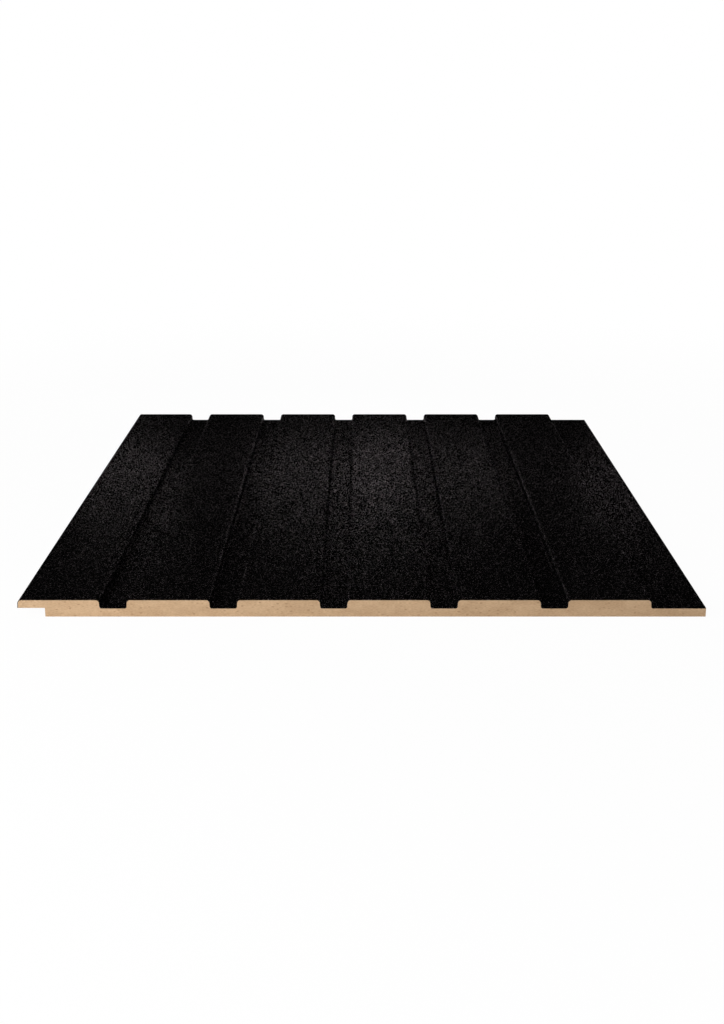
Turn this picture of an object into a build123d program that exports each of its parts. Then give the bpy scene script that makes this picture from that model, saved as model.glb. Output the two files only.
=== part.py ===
from build123d import *
from math import cos, radians, tan
import os

# Ribbed MDF wall panel: a milled board with lapped long edges, faced with a thin decorative film.
# It lies on its back face. X runs across the ribs, Y along them and Z out of the wall.

# Driving dimensions, in millimetres and degrees
PANEL_LENGTH = 300.0  # cut length, along the ribs
BOARD_THICKNESS = 6.3  # bare board, from its back to a rib's crest
RIB_COUNT = 6
RIB_PITCH = 40.0  # from one rib's middle to the next
GROOVE_WIDTH = 10.0  # between bare rib walls, half-way down the groove
GROOVE_DEPTH = 3.2
WALL_DRAFT = 4.0  # lean of a rib's wall from upright
SHOULDER_RADIUS = 1.2  # round along a rib's crest, on the bare board
ROOT_RADIUS = 0.6  # round along a groove's floor, on the film
TONGUE_WIDTH = 9.7  # overhang of the first rib that laps on to the next panel
TONGUE_SETBACK = 0.6  # how much narrower the first rib is than the others, to leave room at the joint
FILM_THICKNESS = 0.2
LAP_CLEARANCE = 0.05  # between a tongue and the film on the lip that it lies on
BUTT_CLEARANCE = 0.3  # between a lip's end and the rebate that it slides into

# Heights that the board is milled to
floor_z = BOARD_THICKNESS - GROOVE_DEPTH
wall_middle_z = BOARD_THICKNESS - GROOVE_DEPTH / 2
tongue_z = floor_z + FILM_THICKNESS + LAP_CLEARANCE

# Slope of a rib's wall
wall_lean = tan(radians(WALL_DRAFT))
wall_slant = cos(radians(WALL_DRAFT))


def rib_wall(side, middle_x, z, cover):
    """How far across a rib's left (-1) or right (+1) wall lies at height z, with a cover on the board."""
    return middle_x + side * ((wall_middle_z - z) * wall_lean + cover / wall_slant)


# Places across the panel, with its outermost points as far from the middle on both sides
cover_width = RIB_COUNT * RIB_PITCH
tongue_flare = rib_wall(1, 0, tongue_z, FILM_THICKNESS)
panel_width = tongue_flare + TONGUE_WIDTH + cover_width - BUTT_CLEARANCE
tongue_wall_x = tongue_flare - panel_width / 2
rebate_x = tongue_wall_x + TONGUE_WIDTH
lip_end_x = rebate_x + cover_width - BUTT_CLEARANCE
ribs_start_x = tongue_wall_x - TONGUE_SETBACK


def face_outline(cover):
    """Corners of the ribbed face from tongue to lip, raised by a cover, and the radius of each inner one."""
    crest = BOARD_THICKNESS + cover
    floor = floor_z + cover
    shoulder = SHOULDER_RADIUS + cover
    root = ROOT_RADIUS + FILM_THICKNESS - cover
    points = [(rib_wall(-1, tongue_wall_x, tongue_z, cover), tongue_z)]
    radii = []
    for rib in range(RIB_COUNT):
        left_x = ribs_start_x + rib * RIB_PITCH
        right_x = left_x + RIB_PITCH - GROOVE_WIDTH
        if rib == 0:
            left_x = tongue_wall_x
        else:
            points.append((rib_wall(-1, left_x, floor, cover), floor))
            radii.append(root)
        points.append((rib_wall(-1, left_x, crest, cover), crest))
        points.append((rib_wall(1, right_x, crest, cover), crest))
        points.append((rib_wall(1, right_x, floor, cover), floor))
        radii += [shoulder, shoulder, root]
    points.append((lip_end_x, floor))
    return points, radii


board_points, board_radii = face_outline(0)
film_points, film_radii = face_outline(FILM_THICKNESS)

# Milled board: ribbed face, thin lip along one long edge, rebate under the tongue along the other
with BuildPart() as mdf_core:
    with BuildSketch(Plane.XZ):
        with BuildLine():
            ribs = FilletPolyline(*board_points, radius=board_radii)
            Polyline(ribs @ 1, (lip_end_x, 0), (rebate_x, 0), (rebate_x, tongue_z), ribs @ 0)
        make_face()
    extrude(amount=PANEL_LENGTH / 2, both=True)

# Film: follows the ribbed face from the tongue's lower edge to the lip's end
with BuildPart() as decor_film:
    with BuildSketch(Plane.XZ):
        with BuildLine():
            glued_face = FilletPolyline(*board_points, radius=board_radii)
            seen_face = FilletPolyline(*film_points, radius=film_radii)
            Line(glued_face @ 0, seen_face @ 0)
            Line(glued_face @ 1, seen_face @ 1)
        make_face()
    extrude(amount=PANEL_LENGTH / 2, both=True)

os.makedirs("parts", exist_ok=True)
mdf_core.part.label = "mdf_core"
export_step(mdf_core.part, "parts/mdf_core.step")
decor_film.part.label = "decor_film"
export_step(decor_film.part, "parts/decor_film.step")
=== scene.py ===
import math

import bpy
from bpy.props import FloatProperty, FloatVectorProperty, PointerProperty
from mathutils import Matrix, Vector


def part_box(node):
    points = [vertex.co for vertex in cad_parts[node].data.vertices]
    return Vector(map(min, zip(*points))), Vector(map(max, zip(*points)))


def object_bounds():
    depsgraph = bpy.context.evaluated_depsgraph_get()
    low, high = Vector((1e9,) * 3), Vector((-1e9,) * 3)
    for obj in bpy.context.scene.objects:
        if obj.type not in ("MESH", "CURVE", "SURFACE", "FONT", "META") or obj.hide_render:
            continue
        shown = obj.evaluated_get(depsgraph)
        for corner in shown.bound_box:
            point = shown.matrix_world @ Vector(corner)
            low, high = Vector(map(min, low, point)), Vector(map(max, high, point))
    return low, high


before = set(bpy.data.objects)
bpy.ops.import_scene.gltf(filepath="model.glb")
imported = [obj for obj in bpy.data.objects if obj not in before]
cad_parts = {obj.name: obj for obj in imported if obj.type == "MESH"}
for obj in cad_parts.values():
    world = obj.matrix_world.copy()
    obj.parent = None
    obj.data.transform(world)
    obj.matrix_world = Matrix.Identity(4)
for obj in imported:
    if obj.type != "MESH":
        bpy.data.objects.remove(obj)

bl_info = {
    "name": "Ribbed MDF wall panel",
    "version": (1, 0, 0),
    "blender": (4, 5, 0),
    "location": "View3D > Sidebar > Wall Panel",
    "description": "Finishes a ribbed MDF wall panel with raw board and black film, and sets up its studio",
    "category": "Object",
}

# Places on the panel, in metres
CAD_BOX = [list(corner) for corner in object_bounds()]
BOARD_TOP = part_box("mdf_core")[1].z
NEAR_END = CAD_BOX[0][1]
MM = 0.001

# Ends of a smooth step
RISING = (0.0, 1.0)
FALLING = (1.0, 0.0)

# Board: spacing of its specks and clouds along X, Y and Z
SPECK_SPACING = (1.6 * MM, 1.6 * MM, 0.9 * MM)
CLOUD_SPACING = (7 * MM, 7 * MM, 3 * MM)

# Board: texture values between which each layer of the grain sets in
GRAIN_SPAN = (0.35, 0.70)
SPECK_SPAN = (0.15, 0.42)  # from a speck's middle, in spacings
SPECK_CHANCE = (0.76, 0.95)  # a cell's random number, from no speck to a whole one
ROUGH_SPAN = (0.3, 0.7)

# Board: how far each layer of the grain shades it from tan to brown
STREAK_SHADE = 0.55
SPECK_SHADE = 1.1
CLOUD_SHADE = 0.30
SKIN_SHADE = 0.05

# Board: surface
BOARD_ROUGHNESS = (0.82, 0.95)
BOARD_RELIEF = 0.06 * MM

# Film: faintest and palest fleck as shares of the fleck colour, and the flecks' tint at a flat angle
FLECK_TONES = (0.25, 1.0)
FLECK_EDGE_TINT = (1.0, 0.923, 0.955, 1)

# Floor: size, drop below the panel, and how it fades to white with distance from the panel's middle
WHITE = (1, 1, 1, 1)
PAPER = (0.85, 0.85, 0.85, 1)
FLOOR_SIZE = 12.0
FLOOR_DROP = 0.1 * MM
FLOOR_FADE = (0.2, 0.6)
FLOOR_WHITE = (0.97, 1.0)

# Backdrop: upper edges of its walls as the Z of a direction, and their turns as its Y
LOW_WALL_EDGE = (0.05, 0.08)
HIGH_WALL_TOPS = (0.36, 0.62)
HIGH_WALL_RISE = (-0.1, 0.2)
HIGH_WALL_EDGE = (0.0, 0.1)
HIGH_WALL_END = (0.70, 0.85)

# Lamps: where each stands, what it faces, and its width and height, in metres
KEY_LAMP = {"place": (-0.38, -0.46, 0.28), "target": (-0.02, -0.15, 0), "size": (0.25, 0.25)}
TOP_LAMP = {"place": (0, 0, 1.2), "target": (0, 0, 0), "size": (1.0, 1.0)}
BACK_LAMP = {"place": (0, 0.24, 0.070), "target": (0, 0, 0), "size": (0.5, 0.02)}

# Back lamp's brightness across its width: where each strip of it starts, and how bright the strip is
BACK_STRIPS = (
    (-0.250, 0.10), (-0.186, 0.58), (-0.119, 0.12), (-0.067, 0.60), (-0.010, 1.00),
    (0.031, 0.41), (0.089, 0.11), (0.136, 0.42), (0.190, 0.10),
)

# Camera
CAMERA_X = 0.1 * MM
SENSOR_WIDTH = 36.0


class BoardFinish(bpy.types.PropertyGroup):
    """Colours and grain of the raw fibreboard."""

    tan: FloatVectorProperty(
        name="Tan", description="Main colour of the sawn board",
        subtype="COLOR", size=4, min=0, max=1, default=(0.597, 0.415, 0.256, 1))
    brown: FloatVectorProperty(
        name="Brown", description="Colour of the darker fibres",
        subtype="COLOR", size=4, min=0, max=1, default=(0.400, 0.255, 0.140, 1))
    fibre_length: FloatProperty(
        name="Fibre length", description="Length of a pressed fibre bundle along the board",
        unit="LENGTH", default=1.0 * MM)
    fibre_height: FloatProperty(
        name="Fibre height", description="Height of a pressed fibre bundle across the board",
        unit="LENGTH", default=0.3 * MM)
    skin: FloatProperty(
        name="Skin", description="Depth of the denser, darker board under each face",
        unit="LENGTH", default=0.7 * MM)


class FilmFinish(bpy.types.PropertyGroup):
    """Colours and grain of the black film."""

    black: FloatVectorProperty(
        name="Black", description="Ground colour of the film",
        subtype="COLOR", size=4, min=0, max=1, default=(0.0015, 0.0015, 0.0015, 1))
    fleck: FloatVectorProperty(
        name="Fleck", description="Colour of the palest mica flecks",
        subtype="COLOR", size=4, min=0, max=1, default=(0.32, 0.282, 0.287, 1))
    fleck_size: FloatProperty(
        name="Fleck size", description="Spacing of the film's grains, some of which are flecks",
        unit="LENGTH", default=0.21 * MM)
    fleck_share: FloatProperty(
        name="Fleck share", description="Share of the face that flecks cover",
        subtype="FACTOR", min=0, max=1, default=0.07)
    grain_depth: FloatProperty(
        name="Grain depth", description="Height of the embossed grain",
        unit="LENGTH", default=0.03 * MM)
    roughness: FloatProperty(
        name="Roughness", description="Roughness of the film",
        subtype="FACTOR", min=0, max=1, default=0.28)


class StudioSetup(bpy.types.PropertyGroup):
    """Camera and lamps."""

    camera_distance: FloatProperty(
        name="Camera distance", description="From the panel's near end, along the floor",
        unit="LENGTH", default=491.4 * MM)
    camera_height: FloatProperty(
        name="Camera height", description="Above the floor",
        unit="LENGTH", default=187.73 * MM)
    camera_tilt: FloatProperty(
        name="Camera tilt", description="Below the level",
        subtype="ANGLE", unit="ROTATION", default=math.radians(16.769))
    lens: FloatProperty(
        name="Lens", description="Focal length in millimetres", unit="CAMERA", default=50.80)
    key_power: FloatProperty(
        name="Key power", description="Soft lamp at the front left", unit="POWER", default=2.26)
    top_power: FloatProperty(
        name="Top power", description="Large soft lamp overhead", unit="POWER", default=3.0)
    back_power: FloatProperty(
        name="Back power", description="Low lamp behind the panel, before its strips dim it",
        unit="POWER", default=0.101)
    sky: FloatProperty(
        name="Sky", description="Brightness of the room above the white backdrop",
        subtype="FACTOR", min=0, max=1, default=0.01)


def cleared_tree(owner):
    """Node tree of a material, world or lamp, emptied."""
    owner.use_nodes = True
    owner.node_tree.nodes.clear()
    return owner.node_tree


def put(tree, kind, inputs=None, **options):
    """Adds a node, sets its options and fills its inputs with values or with other nodes' outputs."""
    node = tree.nodes.new(kind)
    for option, value in options.items():
        setattr(node, option, value)
    for key, value in (inputs or {}).items():
        if isinstance(value, bpy.types.NodeSocket):
            tree.links.new(value, node.inputs[key])
        else:
            node.inputs[key].default_value = value
    return node


def math_node(tree, operation, first, second, clamp=False):
    """One sum on two values, as its output."""
    inputs = {0: first, 1: second}
    return put(tree, "ShaderNodeMath", inputs, operation=operation, use_clamp=clamp).outputs[0]


def ramp(tree, value, span, to=RISING):
    """A smooth step between two values as another value crosses a span, as its output."""
    inputs = {"Value": value, "From Min": span[0], "From Max": span[1], "To Min": to[0], "To Max": to[1]}
    return put(tree, "ShaderNodeMapRange", inputs, interpolation_type="SMOOTHSTEP").outputs[0]


def mix_colour(tree, factor, first, second):
    """A blend of two colours, as its output. The node's colours are its inputs 6 and 7 and its output 2."""
    return put(tree, "ShaderNodeMix", {0: factor, 6: first, 7: second}, data_type="RGBA").outputs[2]


def stretched(tree, place, spacing):
    """Object coordinates counted in steps of a spacing along X, Y and Z."""
    return put(tree, "ShaderNodeMapping",
               {"Vector": place, "Scale": [1 / step for step in spacing]}).outputs[0]


def new_material(name):
    """A node material with only a Principled shader, as the material, its tree and the shader."""
    material = bpy.data.materials.new(name)
    tree = cleared_tree(material)
    shader = put(tree, "ShaderNodeBsdfPrincipled")
    put(tree, "ShaderNodeOutputMaterial", {"Surface": shader.outputs[0]})
    return material, tree, shader


def board_material(finish):
    """Raw fibreboard: fine streaks of fibre, dark specks, clouds and a denser skin under each face."""
    material, tree, shader = new_material("raw_fibreboard")
    place = put(tree, "ShaderNodeTexCoord").outputs["Object"]
    height = put(tree, "ShaderNodeSeparateXYZ", {0: place}).outputs["Z"]

    streak_spacing = (finish.fibre_length, finish.fibre_length, finish.fibre_height)
    streaks = put(tree, "ShaderNodeTexNoise",
                  {"Vector": stretched(tree, place, streak_spacing),
                   "Scale": 1.0, "Detail": 3.0, "Roughness": 0.6}).outputs["Fac"]
    clouds = put(tree, "ShaderNodeTexNoise",
                 {"Vector": stretched(tree, place, CLOUD_SPACING),
                  "Scale": 1.0, "Detail": 2.0}).outputs["Fac"]
    cells = put(tree, "ShaderNodeTexVoronoi",
                {"Vector": stretched(tree, place, SPECK_SPACING), "Scale": 1.0})
    chance = put(tree, "ShaderNodeSeparateColor", {0: cells.outputs["Color"]}).outputs[0]
    specks = math_node(tree, "MULTIPLY",
                       ramp(tree, cells.outputs["Distance"], SPECK_SPAN, FALLING),
                       ramp(tree, chance, SPECK_CHANCE))

    below = math_node(tree, "SUBTRACT", BOARD_TOP, height)
    edge = math_node(tree, "MINIMUM", height, below)
    skin = ramp(tree, edge, (0.0, finish.skin), (SKIN_SHADE, 0.0))

    shade = math_node(tree, "ADD", ramp(tree, streaks, GRAIN_SPAN, (0.0, STREAK_SHADE)), skin)
    shade = math_node(tree, "ADD", shade, math_node(tree, "MULTIPLY", specks, SPECK_SHADE))
    shade = math_node(tree, "ADD", shade, ramp(tree, clouds, GRAIN_SPAN, (0.0, CLOUD_SHADE)), clamp=True)
    colour = mix_colour(tree, shade, list(finish.tan), list(finish.brown))

    relief = put(tree, "ShaderNodeBump",
                 {"Height": streaks, "Strength": 0.5, "Distance": BOARD_RELIEF}).outputs[0]
    tree.links.new(colour, shader.inputs["Base Color"])
    tree.links.new(ramp(tree, streaks, ROUGH_SPAN, BOARD_ROUGHNESS), shader.inputs["Roughness"])
    tree.links.new(relief, shader.inputs["Normal"])
    shader.inputs["Specular IOR Level"].default_value = 0.15
    return material


def film_material(finish):
    """Black film: fine embossed grain with pale mica flecks of uneven strength."""
    material, tree, shader = new_material("black_film")
    place = put(tree, "ShaderNodeTexCoord").outputs["Object"]
    grains = stretched(tree, place, [finish.fleck_size] * 3)

    cells = put(tree, "ShaderNodeTexVoronoi", {"Vector": grains, "Scale": 1.0})
    chance = put(tree, "ShaderNodeSeparateColor", {0: cells.outputs["Color"]}).outputs
    flecks = math_node(tree, "GREATER_THAN", chance[0], 1 - finish.fleck_share)
    tone = math_node(tree, "MULTIPLY", flecks, ramp(tree, chance[1], RISING, FLECK_TONES))
    colour = mix_colour(tree, tone, list(finish.black), list(finish.fleck))

    emboss = put(tree, "ShaderNodeTexNoise",
                 {"Vector": grains, "Scale": 0.5, "Detail": 1.0}).outputs["Fac"]
    relief = put(tree, "ShaderNodeBump",
                 {"Height": emboss, "Strength": 0.02, "Distance": finish.grain_depth}).outputs[0]
    tree.links.new(colour, shader.inputs["Base Color"])
    tree.links.new(flecks, shader.inputs["Metallic"])
    tree.links.new(relief, shader.inputs["Normal"])
    shader.inputs["Roughness"].default_value = finish.roughness
    shader.inputs["Specular IOR Level"].default_value = 0.0
    shader.inputs["Specular Tint"].default_value = FLECK_EDGE_TINT
    return material


def dress(node, material):
    """Gives a CAD node its finish."""
    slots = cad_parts[node].material_slots
    if not slots:
        raise RuntimeError(f"{node} has no material slot to finish")
    for slot in slots:
        slot.material = material


class WALLPANEL_OT_finish_board(bpy.types.Operator):
    """Gives the board its raw fibre finish"""

    bl_idname = "wallpanel.finish_board"
    bl_label = "Finish Board"

    def execute(self, context):
        dress("mdf_core", board_material(context.scene.board_finish))
        return {"FINISHED"}


class WALLPANEL_OT_finish_film(bpy.types.Operator):
    """Gives the film its black flecked finish"""

    bl_idname = "wallpanel.finish_film"
    bl_label = "Finish Film"

    def execute(self, context):
        dress("decor_film", film_material(context.scene.film_finish))
        return {"FINISHED"}


def add_floor():
    """White floor that fades into the backdrop and keeps the panel's shadow."""
    bpy.ops.object.select_all(action="DESELECT")
    bpy.ops.mesh.primitive_plane_add(size=FLOOR_SIZE, location=(0, 0, -FLOOR_DROP))
    floor = bpy.context.object
    floor.name = "floor"
    material = bpy.data.materials.new("white_floor")
    tree = cleared_tree(material)
    place = put(tree, "ShaderNodeTexCoord").outputs["Object"]
    far = put(tree, "ShaderNodeVectorMath", {0: place}, operation="LENGTH").outputs["Value"]
    white = ramp(tree, far, FLOOR_FADE, FLOOR_WHITE)
    rays = put(tree, "ShaderNodeLightPath").outputs
    seen = math_node(tree, "ADD", rays["Is Camera Ray"], rays["Is Glossy Ray"])
    seen = math_node(tree, "ADD", seen, rays["Is Transmission Ray"], clamp=True)
    paper = put(tree, "ShaderNodeBsdfDiffuse", {"Color": PAPER})
    glow = put(tree, "ShaderNodeEmission", {"Color": WHITE, "Strength": 1.0})
    surface = put(tree, "ShaderNodeMixShader",
                  {0: math_node(tree, "MULTIPLY", seen, white), 1: paper.outputs[0], 2: glow.outputs[0]})
    put(tree, "ShaderNodeOutputMaterial", {"Surface": surface.outputs[0]})
    floor.data.materials.append(material)


def add_world(sky):
    """White walls round the panel, low behind it and higher on the other sides, and a dim room above."""
    world = bpy.data.worlds.new("studio")
    bpy.context.scene.world = world
    tree = cleared_tree(world)
    toward = put(tree, "ShaderNodeTexCoord").outputs["Generated"]
    parts = put(tree, "ShaderNodeSeparateXYZ", {0: toward}).outputs
    rise, ahead = parts["Z"], parts["Y"]
    low_wall = ramp(tree, rise, LOW_WALL_EDGE, FALLING)
    top = ramp(tree, ahead, HIGH_WALL_RISE, HIGH_WALL_TOPS)
    above = math_node(tree, "SUBTRACT", rise, top)
    high_wall = math_node(tree, "MULTIPLY",
                          ramp(tree, above, HIGH_WALL_EDGE, FALLING),
                          ramp(tree, ahead, HIGH_WALL_END, FALLING))
    light = ramp(tree, math_node(tree, "MAXIMUM", low_wall, high_wall), RISING, (sky, 1.0))
    back = put(tree, "ShaderNodeBackground", {"Color": WHITE, "Strength": light})
    put(tree, "ShaderNodeOutputWorld", {"Surface": back.outputs[0]})


def add_lamp(name, power, place, target, size):
    """Soft rectangular lamp at a place, turned towards a target."""
    data = bpy.data.lights.new(name, "AREA")
    data.shape = "RECTANGLE"
    data.size, data.size_y = size
    data.energy = power
    lamp = bpy.data.objects.new(name, data)
    bpy.context.scene.collection.objects.link(lamp)
    lamp.location = place
    lamp.rotation_euler = (Vector(target) - Vector(place)).to_track_quat("-Z", "Y").to_euler()
    lamp.visible_camera = False
    return data


def divide_lamp(data, strips):
    """Divides a lamp across its width into strips of unlike brightness."""
    tree = cleared_tree(data)
    place = put(tree, "ShaderNodeNewGeometry").outputs["Parametric"]
    across = put(tree, "ShaderNodeSeparateXYZ", {0: place}).outputs["X"]
    bands = put(tree, "ShaderNodeValToRGB", {"Fac": math_node(tree, "SUBTRACT", 1.0, across)})
    bands.color_ramp.interpolation = "CONSTANT"
    stops = bands.color_ramp.elements
    while len(stops) < len(strips):
        stops.new(1.0)
    for stop, (start, value) in zip(stops, strips):
        stop.position = start / data.size + 0.5
        stop.color = (value, value, value, 1)
    glow = put(tree, "ShaderNodeEmission", {"Color": bands.outputs["Color"]})
    put(tree, "ShaderNodeOutputLight", {"Surface": glow.outputs[0]})


def add_camera(studio):
    """Camera in front of the panel's near end, looking along the ribs."""
    data = bpy.data.cameras.new("camera")
    data.lens = studio.lens
    data.sensor_width = SENSOR_WIDTH
    camera = bpy.data.objects.new("camera", data)
    bpy.context.scene.collection.objects.link(camera)
    camera.location = (CAMERA_X, NEAR_END - studio.camera_distance, studio.camera_height)
    camera.rotation_euler = (math.radians(90) - studio.camera_tilt, 0, 0)
    bpy.context.scene.camera = camera


class WALLPANEL_OT_set_stage(bpy.types.Operator):
    """Sets up the floor, backdrop, lamps and camera"""

    bl_idname = "wallpanel.set_stage"
    bl_label = "Set Stage"

    def execute(self, context):
        studio = context.scene.studio_setup
        context.scene.view_settings.view_transform = "Standard"
        add_floor()
        add_world(studio.sky)
        add_lamp("key_lamp", studio.key_power, **KEY_LAMP)
        add_lamp("top_lamp", studio.top_power, **TOP_LAMP)
        back = add_lamp("back_lamp", studio.back_power, **BACK_LAMP)
        divide_lamp(back, BACK_STRIPS)
        add_camera(studio)
        return {"FINISHED"}


STEPS = (
    ("board_finish", "wallpanel.finish_board"),
    ("film_finish", "wallpanel.finish_film"),
    ("studio_setup", "wallpanel.set_stage"),
)


class WALLPANEL_PT_sidebar(bpy.types.Panel):
    """Sizes, colours and steps of the wall panel"""

    bl_label = "Wall Panel"
    bl_space_type = "VIEW_3D"
    bl_region_type = "UI"
    bl_category = "Wall Panel"

    def draw(self, context):
        for group, step in STEPS:
            settings = getattr(context.scene, group)
            box = self.layout.box()
            for name in settings.__annotations__:
                box.prop(settings, name)
            box.operator(step)


GROUPS = {"board_finish": BoardFinish, "film_finish": FilmFinish, "studio_setup": StudioSetup}
CLASSES = (
    BoardFinish, FilmFinish, StudioSetup,
    WALLPANEL_OT_finish_board, WALLPANEL_OT_finish_film, WALLPANEL_OT_set_stage,
    WALLPANEL_PT_sidebar,
)


def register():
    for cls in CLASSES:
        bpy.utils.register_class(cls)
    for name, group in GROUPS.items():
        setattr(bpy.types.Scene, name, PointerProperty(type=group))


def unregister():
    for name in GROUPS:
        delattr(bpy.types.Scene, name)
    for cls in reversed(CLASSES):
        bpy.utils.unregister_class(cls)


def main():
    register()
    bpy.ops.wallpanel.finish_board()
    bpy.ops.wallpanel.finish_film()
    bpy.ops.wallpanel.set_stage()


if __name__ == "__main__":
    main()
